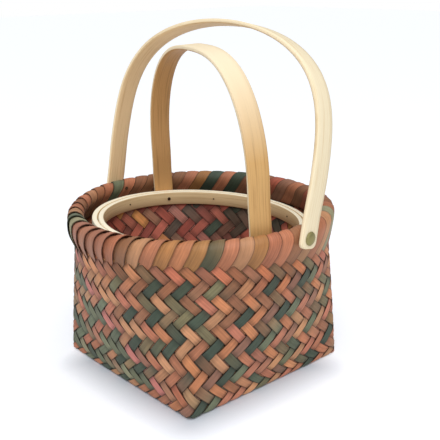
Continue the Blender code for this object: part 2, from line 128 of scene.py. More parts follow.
FALLING = {
    -13: "EE", -12: "GE", -11: "EL", -10: "EE", -9: "LE", -8: "GE", -7: "EE",
    -6: "ES", -5: "EKS", -4: "LEV", -3: "EE", -2: "EEE", -1: "IIII", 0: "TMKM", 1: "ORTPP",
    2: "VTTT", 3: "EBSKM", 4: "SOSM", 5: "OBGVB", 6: "OTPPP", 7: "EGVVN", 8: "SKOBM",
    9: "GMKKK", 10: "TOOOB", 11: "GVNBM", 12: "GGEOK", 13: "OSOBB", 14: "EKTNM",
    15: "TBSO", 16: "CNN", 17: "EVB", 18: "OO", 19: "VV", 20: "SS", 21: "MK",
}
FOLDS = {
    -26: "T", -25: "S", -24: "B", -23: "S", -22: "T", -21: "E", -20: "L", -19: "Q", -18: "Q",
    -17: "Q", -16: "Q", -15: "S", -14: "B", -13: "T", -12: "S", -11: "Y", -10: "O", -9: "Y",
    -8: "GY", -7: "S", -6: "T", -5: "Y", -4: "S", -3: "S", -2: "BP", -1: "T", 0: "S", 1: "T",
    2: "L", 3: "S", 4: "B", 5: "M", 6: "R", 7: "B", 8: "S", 9: "M", 10: "R", 11: "B", 12: "B",
    13: "G", 14: "S", 15: "G", 16: "Y", 17: "S", 18: "B", 19: "M", 20: "B", 21: "B", 22: "S",
    23: "E", 24: "S", 25: "S",
}

# Dyes that the other strips are drawn from at random
OUTER_SPARE = "SSTOBBKMPPNGEVSTO"
INNER_SPARE = "RRRDDDWWHHGDRRBMC"


def linear(rgb):
    """Turn an sRGB colour of 0 to 255 into linear values."""
    values = []
    for channel in rgb:
        share = channel / 255
        low = share / 12.92
        high = ((share + 0.055) / 1.055) ** 2.4
        values.append(low if share <= 0.04045 else high)
    return tuple(values)


def line_lengths(points):
    """Lengths along a line of points, from 0 at its start."""
    pieces = np.linalg.norm(np.diff(points, axis=0), axis=1)
    return np.concatenate([[0], np.cumsum(pieces)])


def moved(points, place):
    """Points after a 4 by 4 placement."""
    return points @ place[:3, :3].T + place[:3, 3]


class Strips:
    """Collects strips of wood into one mesh, with grain coordinates and a colour each: the strip's
    dyed colour times any painted shade.
    """

    def __init__(self):
        self.points = []
        self.quads = []
        self.kinds = []
        self.grain = []
        self.edges = []
        self.dyes_and_painted_shade = []
        self.count = 0

    def add(self, top, bottom, along, across, colors):
        """Add one strip from grids of points on its two faces: sections by places across."""
        sections, places = top.shape[:2]
        ring = np.concatenate([top, bottom[:, ::-1]], axis=1)
        size = 2 * places
        self.points.append(ring.reshape(-1, 3))
        side = np.concatenate([across, across[::-1]])
        from_middle = np.abs(np.linspace(-1, 1, places))
        edge = np.concatenate([from_middle, from_middle])
        self.edges.append(np.tile(edge, sections))
        grain = np.zeros((sections, size, 2))
        grain[..., 0] = along[:, None]
        grain[..., 1] = side[None, :]
        self.grain.append(grain.reshape(-1, 2))
        shade = np.repeat(colors[:, None, :], size, axis=1)
        self.dyes_and_painted_shade.append(shade.reshape(-1, 3))
        base = self.count
        index = base + np.arange(sections * size).reshape(sections, size)
        after = np.roll(index, -1, axis=1)
        low, high = index[:-1], index[1:]
        low_after, high_after = after[:-1], after[1:]
        quads = np.stack([low, low_after, high_after, high], axis=-1)
        self.quads.append(quads.reshape(-1, 4))
        kind = np.zeros(size, int)
        kind[places:] = 2
        kind[[places - 1, size - 1]] = 1
        self.kinds.append(np.tile(kind, sections - 1))
        for section, flip in ((0, True), (sections - 1, False)):
            for step in range(places - 1):
                quad = [
                    index[section, step], index[section, step + 1],
                    index[section, size - 2 - step], index[section, size - 1 - step],
                ]
                self.quads.append(np.array([quad[::-1] if flip else quad]))
                self.kinds.append(np.array([1]))
        self.count += sections * size

    def build(self, name, finishes, sharp=38.0):
        """Make the object, with one finish or one each for its top, sides and bottom."""
        points = np.concatenate(self.points)
        quads = np.concatenate(self.quads)
        mesh = bpy.data.meshes.new(name)
        mesh.vertices.add(len(points))
        mesh.vertices.foreach_set("co", points.ravel())
        mesh.loops.add(quads.size)
        mesh.loops.foreach_set("vertex_index", quads.ravel().astype(np.int32))
        mesh.polygons.add(len(quads))
        starts = np.arange(0, quads.size, 4, dtype=np.int32)
        mesh.polygons.foreach_set("loop_start", starts)
        mesh.update(calc_edges=True)
        if len(finishes) == 3:
            kinds = np.concatenate(self.kinds).astype(np.int32)
            mesh.polygons.foreach_set("material_index", kinds)
        layer = mesh.uv_layers.new(name="grain")
        grain = np.concatenate(self.grain)
        layer.data.foreach_set("uv", grain[quads.ravel()].astype(np.float32).ravel())
        dye_and_painted_shade = mesh.color_attributes.new("dye_and_painted_shade", "FLOAT_COLOR", "POINT")
        dyes_and_painted_shade = np.concatenate(self.dyes_and_painted_shade)
        full = np.ones((len(dyes_and_painted_shade), 4), np.float32)
        full[:, :3] = dyes_and_painted_shade
        dye_and_painted_shade.data.foreach_set("color", full.ravel())
        edge = mesh.attributes.new("edge", "FLOAT", "POINT")
        edge.data.foreach_set("value", np.concatenate(self.edges).astype(np.float32))
        mesh.shade_smooth()
        mesh.set_sharp_from_angle(angle=math.radians(sharp))
        for finish in finishes:
            mesh.materials.append(finish)
        item = bpy.data.objects.new(name, mesh)
        bpy.context.scene.collection.objects.link(item)
        return item


def square_xy(half, corner, turn):
    """Points round squares with rounded corners, a side a turn."""
    quarter = np.floor(turn)
    share = turn - quarter
    along = (2 * share - 1) * half
    end = half - np.abs(along)
    angle = np.radians(45.0) * (1 - np.clip(end / corner, 0, 1))
    centre = half - corner
    round_x = centre + corner * np.cos(angle)
    round_y = np.sign(along) * (centre + corner * np.sin(angle))
    x = np.where(end < corner, round_x, half)
    y = np.where(end < corner, round_y, along)
    spin = quarter * np.pi / 2
    return x * np.cos(spin) - y * np.sin(spin), x * np.sin(spin) + y * np.cos(spin)


def shell(turn, height, side, corner, edge, mouth, top, straight):
    """Points of a basket's outer face."""
    lower = np.clip(edge - height, 0, edge)
    tuck = edge - np.sqrt(np.maximum(edge ** 2 - lower ** 2, 0))
    half = side / 2 - tuck
    bend = np.maximum(corner - tuck, edge - tuck / 2)
    x, y = square_xy(half, bend, turn)
    angle = (turn - 0.5) * np.pi / 2
    rise = np.clip(height / (top - straight), 0, 1) ** FLARE
    x = x + (mouth * np.cos(angle) - x) * rise
    y = y + (mouth * np.sin(angle) - y) * rise
    return np.stack([x, y, height], axis=-1)


def outer_shell(turn, height):
    """Points of the larger basket's outer face."""
    return shell(turn, height, SIDE, CORNER, EDGE, MOUTH_RADIUS, WALL_TOP, WALL_STRAIGHT)


# Rows of crossings up the wall and their heights, then how far they shift round the basket
ROW_UNITS = [0, 1, 3, 5, 7, 9, 11, 13, 15, 17, 19, 21]
ROW_HEIGHTS = [0.0, 0.0030, 0.0105, 0.0203, 0.0299, 0.0430, 0.0556, 0.0684, 0.0804, 0.0929,
               0.1051, 0.1170]
TURN_STOPS = [0.0, 0.5, 1.0, 2.0, 3.0, 3.6, 4.0]
TURN_SHIFTS = [-0.25, 0.0, 0.25, -0.10, -0.55, -0.50, -0.25]
FIRST_FOLD_ROW = 20.0
RIDGE_ROW = 21.9
LAST_ROW = 24.6

# The strips stand closer together at the front's top
CROWD_ROWS = [12.0, 17.0, 20.0, 21.9]
CROWD_SHARES = [0.0, 0.06, 0.12, 0.20]
CROWD_STOPS = [-1.8, -0.6, 0.6, 1.8]
CROWD_REACH = [0.0, -0.6, 0.6, 0.0]


def outer_turn(units, rows):
    """Place round in sides of the base, from a place in crossings, closer at the front's top."""
    turn = units / STRIPS
    shift = np.interp(np.mod(turn, 4.0), TURN_STOPS, TURN_SHIFTS)
    turn = turn + shift / STRIPS
    from_front = np.mod(turn + 2.0, 4.0) - 2.0
    crowd = np.interp(rows, CROWD_ROWS, CROWD_SHARES)
    return turn - crowd * np.interp(from_front, CROWD_STOPS, CROWD_REACH)


def outer_height(rows, turn):
    """Height of rows of crossings, bowed up at corners and shifted up or down by turns."""
    middle = np.interp(rows, ROW_UNITS, ROW_HEIGHTS)
    share = np.mod(turn, 1.0)
    bow = np.interp(middle, [0, 0.030, 0.040, 0.112], [0, 0.010, 0.010, 0.0])
    drop = np.interp(middle, [0, 0.010, 0.035, 0.105], [0, 0.003, 0.0043, 0.0070])
    return middle + bow * (2 * share - 1) ** 2 + drop * np.cos(np.pi * turn)


# The border is a little dented at the left, over a reach of sides each way
DENT_TURN = 3.1
DENT_REACH = 0.5
DENT_IN = 0.0018
DENT_DOWN = 0.0012
BORDER_TURNS = 416
BORDER_STEPS = 48


def ease(share):
    """Smooth step from 0 to 1."""
    share = min(max(share, 0.0), 1.0)
    return share * share * (3 - 2 * share)


def smooth_line(points, count):
    """Resample a control line as a smooth curve with even steps."""
    padded = np.vstack([2 * points[0] - points[1], points, 2 * points[-1] - points[-2]])
    fine = []
    for index in range(len(points) - 1):
        a, b, c, d = padded[index:index + 4]
        for step in range(12):
            t = step / 12
            fine.append(0.5 * (
                2 * b + (c - a) * t + (2 * a - 5 * b + 4 * c - d) * t ** 2
                + (3 * b - a - 3 * c + d) * t ** 3
            ))
    fine.append(points[-1])
    fine = np.array(fine)
    lengths = line_lengths(fine)
    places = np.linspace(0, lengths[-1], count)
    return np.stack([np.interp(places, lengths, fine[:, k]) for k in range(3)], axis=-1)


def border_grid():
    """Surface of the border: for each place round, a line over the ridge from outside to inside."""
    grid = []
    for index in range(BORDER_TURNS + 1):
        turn = 4 * index / BORDER_TURNS
        angle = (turn - 0.5) * math.pi / 2
        out = np.array([math.cos(angle), math.sin(angle), 0.0])
        low = float(outer_height(FIRST_FOLD_ROW, turn))
        dent = ease(1 - abs(turn - DENT_TURN) / DENT_REACH)
        ridge = RIDGE_RADIUS - DENT_IN * dent
        centre = RIDGE_HEIGHT - ROLL_RADIUS - DENT_DOWN * dent
        middle = (low + centre) / 2
        inner_low = RIDGE_HEIGHT - FOLD_REACH_DOWN

        def wall(height, away):
            return outer_shell(np.array(turn), np.array(height)) + out * away

        def roll(degrees):
            bend = math.radians(degrees)
            place = out * (ridge + ROLL_RADIUS * math.cos(bend))
            place[2] = centre + ROLL_RADIUS * math.sin(bend)
            return place

        outside = [wall(low, -0.0001), wall(middle, 0.0030)]
        outside += [roll(degrees) for degrees in (0, 45, 90)]
        inside = [roll(degrees) for degrees in (90, 135, 180)]
        inside += [wall((inner_low + centre) / 2, -0.0052), wall(inner_low, -0.0033)]
        first = smooth_line(np.array(outside), BORDER_STEPS + 1)
        second = smooth_line(np.array(inside), BORDER_STEPS + 1)
        grid.append(np.vstack([first, second[1:]]))
    return np.array(grid)


BORDER = border_grid()


def border_point(turn, rows):
    """Points of the border's surface by place round and row."""
    outside = (rows - FIRST_FOLD_ROW) / (RIDGE_ROW - FIRST_FOLD_ROW)
    inside = (rows - RIDGE_ROW) / (LAST_ROW - RIDGE_ROW)
    place = np.where(rows < RIDGE_ROW, outside, 1 + inside) * BORDER_STEPS
    place = np.clip(place, 0, 2 * BORDER_STEPS - 1e-6)
    across = np.mod(turn, 4.0) / 4.0 * BORDER_TURNS
    i = np.floor(across).astype(int)
    j = np.floor(place).astype(int)
    fi = (across - i)[..., None]
    fj = (place - j)[..., None]
    low = BORDER[i, j] * (1 - fj) + BORDER[i, j + 1] * fj
    high = BORDER[i + 1, j] * (1 - fj) + BORDER[i + 1, j + 1] * fj
    return low * (1 - fi) + high * fi


def outer_surface(units, rows):
    """Larger basket's surface in lattice units, wall and border in one."""
    turn = outer_turn(units, rows)
    wall = outer_shell(turn, outer_height(np.minimum(rows, FIRST_FOLD_ROW), turn))
    border = border_point(turn, np.maximum(rows, FIRST_FOLD_ROW))
    return np.where((rows < FIRST_FOLD_ROW)[..., None], wall, border)


def wall_surface(units, rows):
    """Larger basket's wall alone, going on up behind the border."""
    turn = outer_turn(units, rows)
    return outer_shell(turn, outer_height(rows, turn))


DOWNHILL = Vector((math.cos(NEST_DOWNHILL), math.sin(NEST_DOWNHILL), 0.0))
TILT_AXIS = Vector((0.0, 0.0, 1.0)).cross(DOWNHILL)
NEST = Matrix.Translation(Vector(NEST_FOOT))
NEST @= Matrix.Rotation(NEST_TILT, 4, TILT_AXIS)
NEST @= Matrix.Rotation(NEST_TURN, 4, "Z")
NEST_ARRAY = np.array(NEST)


def inner_surface(units, rows):
    """Smaller basket's outer face in lattice units."""
    local = shell(
        units / INNER_STRIPS, rows * INNER_ROW, INNER_SIDE, INNER_CORNER, EDGE,
        INNER_MOUTH, INNER_TOP, INNER_STRAIGHT,
    )
    return moved(local, NEST_ARRAY)


def normals(surface, units, rows):
    """Outward directions of a surface, by small steps."""
    step = 0.02
    across = surface(units + step, rows) - surface(units - step, rows)
    upward = surface(units, rows + step) - surface(units, rows - step)
    flat = np.cross(across, upward)
    return flat / np.maximum(np.linalg.norm(flat, axis=-1, keepdims=True), 1e-12)


def weave_wave(phase):
    """Height of a strip that goes over two and under two, from -1 to 1."""
    return np.clip(1.55 * np.cos(np.pi * phase / 2), -1.0, 1.0)


# Factors on the dyes' linear red, green and blue; the top rows' shares are painted shade under the
# border
WALL_TONE = np.array([0.91, 0.83, 0.74])
TOP_ROWS_PAINTED_SHADE = np.array([0.02, -0.12, -0.21])
FOLD_TONE = np.array([0.86, 0.77, 0.66])
NEST_TONE = np.array([1.30, 1.24, 1.24])


def dye_line(letters, shares, rng, base, spread=0.06):
    """Colours along a strip from its letters in the DYES table, bottom to top."""
    stops = np.array([linear(DYES[letter]) for letter in letters])
    if len(stops) == 1:
        stops = np.repeat(stops, 2, axis=0)
    places = np.linspace(0, 1, len(stops))
    line = np.stack([np.interp(shares, places, stops[:, k]) for k in range(3)], axis=-1)
    tone = 1 + rng.normal(0, spread)
    warm = 1 + rng.normal(0, spread / 3, 3)
    return np.clip(line * base * tone * warm, 0.004, 0.9)


def lay_strip(strips, surface, rising, place, start, end, colors_of, rng, half=STRIP_HALF,
              depth=0.0008, rise=WEAVE_RISE, flat_from=99.0):
    """Lay one strip on a wall, from one row to another."""
    steps = int((end - start) * STEPS_PER_CROSSING) + 1
    rows = np.linspace(start, end, steps)
    widths = np.array([-1.0, 0.0, 1.0]) * half * (1 + rng.normal(0, 0.012))
    wander = STRIP_WANDER * np.sin(rows * 0.9 + rng.uniform(0, 6.3))
    other = place + rows if rising else place - rows
    own = place + widths[None, :] + wander[:, None]
    other = np.repeat(other[:, None], 3, axis=1)
    units = (own + other) / 2
    heights = other - own if rising else own - other
    phase = rows - 1 if rising else rows - 3
    settle = np.clip((flat_from - rows) / 1.2, 0.1, 1.0)[:, None]
    wave = weave_wave(phase)[:, None] * rise * settle
    tilt = rng.normal(0, STRIP_TILT) * widths[None, :] / half
    crown = np.array([0.0, STRIP_CROWN, 0.0])[None, :]
    normal = normals(surface, units, heights)
    middle = surface(units, heights) + normal * (wave + tilt + crown - depth)[..., None]
    top = middle + normal * STRIP_THICKNESS / 2
    bottom = middle - normal * STRIP_THICKNESS / 2
    along = line_lengths(middle[:, 1]) + rng.uniform(0, GRAIN_REACH)
    width = np.linalg.norm(middle[0, 2] - middle[0, 0]) / 2
    across = np.array([-1.0, 0.0, 1.0]) * width + rng.uniform(0, GRAIN_REACH)
    # Painted shade: the colour darkens where the strip dives under a crossing strip
    crossing_painted_shade = np.interp(np.abs(weave_wave(phase)), [0.0, 1.0], [CROSSING_SHADE, 1.0])[:, None]
    strips.add(top, bottom, along, across, colors_of(rows, rng) * crossing_painted_shade)


def outer_walls():
    """Rising and falling strips of the larger basket's walls."""
    rng = np.random.default_rng(SEED)
    for rising, table, offset in ((True, RISING, -0.65), (False, FALLING, -0.15)):
        strips = Strips()
        for index in range(-2 * STRIPS, 2 * STRIPS):
            letters = table.get(index)
            if letters is None:
                letters = "".join(rng.choice(list(OUTER_SPARE), 2))

            def colors_of(rows, rng, letters=letters):
                colors = dye_line(letters, np.clip(rows / 20, 0, 1), rng, WALL_TONE)
                # Painted shade under the border: the wall's top rows darken by these shares
                top = np.interp(rows, [14.5, 18.0], [0.0, 1.0])[:, None]
                return colors * (1 + top * TOP_ROWS_PAINTED_SHADE)

            lay_strip(strips, wall_surface, rising, index + offset, 0.0, OUTER_WALL_ROWS,
                      colors_of, rng)
        name = "outer_rising_strips" if rising else "outer_falling_strips"
        item = strips.build(name, [STRIP_FINISH])
        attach(item, "outer_basket")
        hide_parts("outer_body")


# Folds of the border: how far they tilt by place round, then widths, edges, and the painted shade
# on their lower ends and inner side
FOLD_TURNS = [0.0, 0.4, 1.0, 2.4, 2.9, 3.3, 3.6, 4.0]
FOLD_TILTS = [0.0010, 0.0008, 0.0008, 0.0006, 0.0008, 0.0013, 0.0014, 0.0010]
FOLD_WIDTHS = np.array([-0.66, -0.28, 0.0, 0.25, 0.50])
FOLD_SHARES = np.array([-1.0, -0.5, 0.0, 0.5, 1.0])
FOLD_CROWNS = np.array([-0.0002, 0.0003, 0.0005, 0.0003, 0.0])
FOLD_HALF_WIDTH = 0.0046
FOLD_SINK = 0.0011
SHADE_ROWS = [19.8, 21.2, RIDGE_ROW + 0.2, RIDGE_ROW + 1.6]
SHADE_LEVELS = [0.78, 1.0, 1.0, 0.62]


def outer_border():
    """Strip ends folded over the larger basket's edge, one for each strip."""
    rng = np.random.default_rng(SEED + 1)
    strips = Strips()
    for index in range(-2 * STRIPS, 2 * STRIPS):
        place = index - 0.65
        below = np.linspace(18.9, 20.4, 6)
        rows = np.concatenate([below, np.linspace(20.6, LAST_ROW + 0.8, 34)])
        own = place + FOLD_WIDTHS[None, :] + np.zeros((len(rows), 1))
        other = np.repeat((place + rows)[:, None], 5, axis=1)
        units = (own + other) / 2
        heights = np.minimum(other - own, LAST_ROW + 0.1)
        fade = np.clip((rows - 20.2) / 1.2, 0, 1)[:, None]
        start = np.clip((20.5 - rows) / 0.8, 0, 1)[:, None]
        turn = np.mod((place + 21.0 / 2) / STRIPS, 4.0)
        lift = float(np.interp(turn, FOLD_TURNS, FOLD_TILTS))
        flat = np.interp(rows, [RIDGE_ROW, RIDGE_ROW + 0.9], [1.0, 0.3])[:, None]
        crown = FOLD_CROWNS[None, :] * fade * flat
        tilt = lift * (1 + rng.normal(0, 0.2)) * FOLD_SHARES[None, :] * fade * flat
        sink = -FOLD_SINK * start
        normal = normals(outer_surface, units, heights)
        middle = outer_surface(units, heights) + normal * (crown + tilt + sink)[..., None]
        top = middle + normal * STRIP_THICKNESS / 2
        bottom = middle - normal * STRIP_THICKNESS / 2
        across = FOLD_SHARES * FOLD_HALF_WIDTH + rng.uniform(0, GRAIN_REACH)
        colors = dye_line(FOLDS[index], np.linspace(0, 1, len(rows)), rng, FOLD_TONE)
        # Painted shade: folds darken towards their tucked lower ends and past the ridge on the
        # inside
        colors *= np.interp(rows, SHADE_ROWS, SHADE_LEVELS)[:, None]
        along = line_lengths(middle[:, 2]) + rng.uniform(0, GRAIN_REACH)
        strips.add(top, bottom, along, across, colors)
    item = strips.build("outer_border_folds", [FOLD_FINISH], sharp=50.0)
    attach(item, "outer_basket")
    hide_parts(*[f"outer_border_folds_{group + 1:02d}" for group in range(BORDER_FOLDS)])


def base_strips(name, side, count, height, body, node, place, spare, seed):
    """Plaited base: two sets of strips that cross at right angles."""
    rng = np.random.default_rng(seed)
    strips = Strips()
    half = side / 2 - BASE_INSET
    pitch = side / count
    for rising in (True, False):
        for index in range(-count, count):
            line = (index + 0.35 if rising else index + 0.85) * pitch
            reach = half - abs(line) / 2
            if reach < 0.35 * pitch:
                continue
            steps = max(int(2 * reach / pitch * 2 * STEPS_PER_CROSSING), 4)
            run = np.linspace(-reach, reach, steps)
            widths = np.array([-1.0, 0.0, 1.0]) * BASE_STRIP_HALF * pitch / 2
            sign = 1.0 if rising else -1.0
            x = line / 2 + run[:, None] + widths[None, :]
            y = sign * (run[:, None] - line / 2 - widths[None, :])
            x = np.clip(x, -half, half)
            y = np.clip(y, -half, half)
            other = 2 * run / pitch
            wave = weave_wave(other - line / pitch) * sign
            # Painted shade: the colour darkens where the strip dives under a crossing strip
            crossing_painted_shade = np.interp(np.abs(wave), [0.0, 1.0], [CROSSING_SHADE, 1.0])[:, None]
            z = height + wave[:, None] * BASE_RISE + np.zeros((1, 3))
            middle = np.stack([x, y, z], axis=-1)
            lift = np.array([0.0, 0.0, STRIP_THICKNESS / 2])
            if place is not None:
                middle = moved(middle, place)
                lift = place[:3, :3] @ lift
            letters = "".join(rng.choice(list(spare), 2))
            colors = dye_line(letters, np.linspace(0, 1, steps), rng, NEST_TONE) * crossing_painted_shade
            along = run + rng.uniform(0, GRAIN_REACH)
            across = widths + rng.uniform(0, GRAIN_REACH)
            if not rising:
                middle = middle[:, ::-1]
            strips.add(middle + lift, middle - lift, along, across, colors)
    item = strips.build(name, [STRIP_FINISH])
    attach(item, body)
    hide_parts(node)


def inner_walls():
    """Strips of the smaller basket's walls."""
    rng = np.random.default_rng(SEED + 2)
    for rising, offset in ((True, 0.35), (False, 0.85)):
        strips = Strips()
        for index in range(0, 4 * INNER_STRIPS):
            letters = "".join(rng.choice(list(INNER_SPARE), 2))

            def colors_of(rows, rng, letters=letters):
                return dye_line(letters, np.clip(rows / 19, 0, 1), rng, NEST_TONE)

            lay_strip(strips, inner_surface, rising, index + offset, 0.0, INNER_WALL_ROWS,
                      colors_of, rng, depth=0.0009, rise=0.00036, flat_from=INNER_FLAT_ROW)
        name = "inner_rising_strips" if rising else "inner_falling_strips"
        item = strips.build(name, [STRIP_FINISH])
        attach(item, "inner_basket")
        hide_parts("inner_body")


def node_link(tree, source, output, target, field):
    """Link one node's output to another's input."""
    tree.links.new(source.outputs[output], target.inputs[field])


def math_node(tree, operation, source, output, value=None, kind="ShaderNodeMath"):
    """Math node fed by another node, and by a number where there is one."""
    item = tree.nodes.new(kind)
    item.operation = operation
    node_link(tree, source, output, item, 0)
    if value is not None:
        item.inputs[1].default_value = value
    return item


def range_node(tree, source, output, low, high, to_low=0.0, to_high=1.0):
    """Map Range node fed by another node."""
    item = tree.nodes.new("ShaderNodeMapRange")
    item.inputs["From Min"].default_value = low
    item.inputs["From Max"].default_value = high
    item.inputs["To Min"].default_value = to_low
    item.inputs["To Max"].default_value = to_high
    node_link(tree, source, output, item, "Value")
    return item


def grain_bump(tree, shader, noise, strength):
    """Shallow bump of the grain on a shader."""
    bump = tree.nodes.new("ShaderNodeBump")
    bump.inputs["Strength"].default_value = strength
    bump.inputs["Distance"].default_value = 0.0002
    node_link(tree, noise, "Fac", bump, "Height")
    node_link(tree, bump, "Normal", shader, "Normal")


def new_material(name):
    """Start a material with its Principled shader."""
    item = bpy.data.materials.new(name)
    item.use_nodes = True
    tree = item.node_tree
    shader = tree.nodes["Principled BSDF"]
    return item, tree, shader


def object_axes(tree):
    """X, Y and Z of a place in the object's own coordinates."""
    place = tree.nodes.new("ShaderNodeTexCoord")
    apart = tree.nodes.new("ShaderNodeSeparateXYZ")
    node_link(tree, place, "Object", apart, "Vector")
    return apart


def grain_noise(tree, scale, detail=6.0, roughness=0.6):
    """Noise stretched along the wood's grain coordinates."""
    coords = tree.nodes.new("ShaderNodeUVMap")
    coords.uv_map = "grain"
    mapping = tree.nodes.new("ShaderNodeMapping")
    mapping.inputs["Scale"].default_value = scale
    noise = tree.nodes.new("ShaderNodeTexNoise")
    noise.inputs["Scale"].default_value = 1.0
    noise.inputs["Detail"].default_value = detail
    noise.inputs["Roughness"].default_value = roughness
    node_link(tree, coords, "UV", mapping, "Vector")
    node_link(tree, mapping, "Vector", noise, "Vector")
    return noise


def strip_material(name, edge_painted_shade):
    """Dyed wood strip: its dyed colour times the painted shade carried with it, streaks along the
    grain, edges darkened by painted shade for the gaps between strips, and a matt face.
    """
    item, tree, shader = new_material(name)
    dye_and_painted_shade = tree.nodes.new("ShaderNodeAttribute")
    dye_and_painted_shade.attribute_name = "dye_and_painted_shade"
    streak = grain_noise(tree, (22.0, 900.0, 1.0))
    blotch = grain_noise(tree, (45.0, 160.0, 1.0), detail=3.0)
    streaks = range_node(tree, streak, "Fac", 0.28, 0.72, 0.74, 1.20)
    blotches = range_node(tree, blotch, "Fac", 0.3, 0.7, 0.86, 1.12)
    wood = math_node(tree, "MULTIPLY", streaks, "Result")
    node_link(tree, blotches, "Result", wood, 1)
    edge = tree.nodes.new("ShaderNodeAttribute")
    edge.attribute_name = "edge"
    # Painted shade along the strip's edges and cut sides, standing in for the shadow in the gaps
    # between strips
    rim = range_node(tree, edge, "Fac", 0.80, 1.0, 1.0, edge_painted_shade)
    rim.interpolation_type = "SMOOTHSTEP"
    tone = math_node(tree, "MULTIPLY", wood, "Value")
    node_link(tree, rim, "Result", tone, 1)
    scale = math_node(tree, "SCALE", dye_and_painted_shade, "Color", kind="ShaderNodeVectorMath")
    node_link(tree, tone, "Value", scale, "Scale")
    tree.links.new(scale.outputs[0], shader.inputs["Base Color"])
    shader.inputs["Roughness"].default_value = 0.55
    shader.inputs["Specular IOR Level"].default_value = 0.35
    grain_bump(tree, shader, streak, 0.25)
    return item


def ramp(tree, stops):
    """Colour ramp from places and sRGB colours."""
    item = tree.nodes.new("ShaderNodeValToRGB")
    elements = item.color_ramp.elements
    while len(elements) > 1:
        elements.remove(elements[-1])
    elements[0].position = stops[0][0]
    elements[0].color = (*linear(stops[0][1]), 1.0)
    for place, color in stops[1:]:
        element = elements.new(place)
        element.color = (*linear(color), 1.0)
    return item


# Heights over which painted light turns the smaller handle paler towards its top
PAINTED_LIGHT_FROM = 0.190
PAINTED_LIGHT_TO = 0.262


def wood_material(name, light, dark, painted_light_color=None):
    """Bentwood with fine grain along the band, and painted light that turns its top paler where a
    colour for it is given.
    """
    item, tree, shader = new_material(name)
    fine = grain_noise(tree, (14.0, 700.0, 1.0), detail=8.0, roughness=0.65)
    colors = ramp(tree, [(0.30, dark), (0.50, light), (0.75, light)])
    node_link(tree, fine, "Fac", colors, "Fac")
    if painted_light_color is None:
        node_link(tree, colors, "Color", shader, "Base Color")
    else:
        # Painted light: the band turns paler towards its top, which faces the light
        height = range_node(tree, object_axes(tree), "Z", PAINTED_LIGHT_FROM, PAINTED_LIGHT_TO)
        painted_light_mix = tree.nodes.new("ShaderNodeMix")
        painted_light_mix.data_type = "RGBA"
        node_link(tree, height, "Result", painted_light_mix, "Factor")
        node_link(tree, colors, "Color", painted_light_mix, "A")
        painted_light_mix.inputs["B"].default_value = (*linear(painted_light_color), 1.0)
        node_link(tree, painted_light_mix, "Result", shader, "Base Color")
    shader.inputs["Roughness"].default_value = 0.50
    shader.inputs["Specular IOR Level"].default_value = 0.35
    grain_bump(tree, shader, fine, 0.2)
    return item


RIVET_TAIL = (84, 66, 50)
RIVET_HEAD = (150, 142, 96)


def rivet_material(name, radius):
    """Dull brass head outside a radius round the larger basket's middle, dark tail inside it."""
    item, tree, shader = new_material(name)
    place = tree.nodes.new("ShaderNodeNewGeometry")
    vector = "ShaderNodeVectorMath"
    flat = math_node(tree, "MULTIPLY", place, "Position", (1.0, 1.0, 0.0), kind=vector)
    length = math_node(tree, "LENGTH", flat, "Vector", kind=vector)
    outside = math_node(tree, "GREATER_THAN", length, "Value", radius)
    color = tree.nodes.new("ShaderNodeMix")
    color.data_type = "RGBA"
    node_link(tree, outside, "Value", color, "Factor")
    color.inputs["A"].default_value = (*linear(RIVET_TAIL), 1.0)
    color.inputs["B"].default_value = (*linear(RIVET_HEAD), 1.0)
    node_link(tree, color, "Result", shader, "Base Color")
    shader.inputs["Roughness"].default_value = 0.42
    shader.inputs["Metallic"].default_value = 0.7
    return item


def nail_material():
    """Dull dark iron."""
    item, _, shader = new_material("dark_iron_nail")
    shader.inputs["Base Color"].default_value = (*linear((52, 40, 34)), 1.0)
    shader.inputs["Roughness"].default_value = 0.55
    shader.inputs["Metallic"].default_value = 0.5
    return item


def arch_line(pivot_half, rise, spread, leg_straight, spread_height, arch_start, powers):
    """Middle line of a handle from the right leg's end over the top to the left leg's end."""
    full = pivot_half + spread
    points = [(full, -BAND_BELOW), (full, 0.0)]
    points += [(full, arch_start * step / 10) for step in range(1, 10)]
    for step in range(ARCH_STEPS + 1):
        angle = math.pi / 2 * step / ARCH_STEPS
        x = full * math.cos(angle) ** (2 / powers[0]) if step < ARCH_STEPS else 0.0
        z = arch_start + (rise - arch_start) * math.sin(angle) ** (2 / powers[1])
        points.append((x, z))
    half = []
    for x, z in points:
        share = (z - leg_straight) / spread_height
        half.append((x - spread * (1 - ease(share)) * (x / full), z))
    left = [(-x, z) for x, z in reversed(half[:-1])]
    return np.array(half + left)


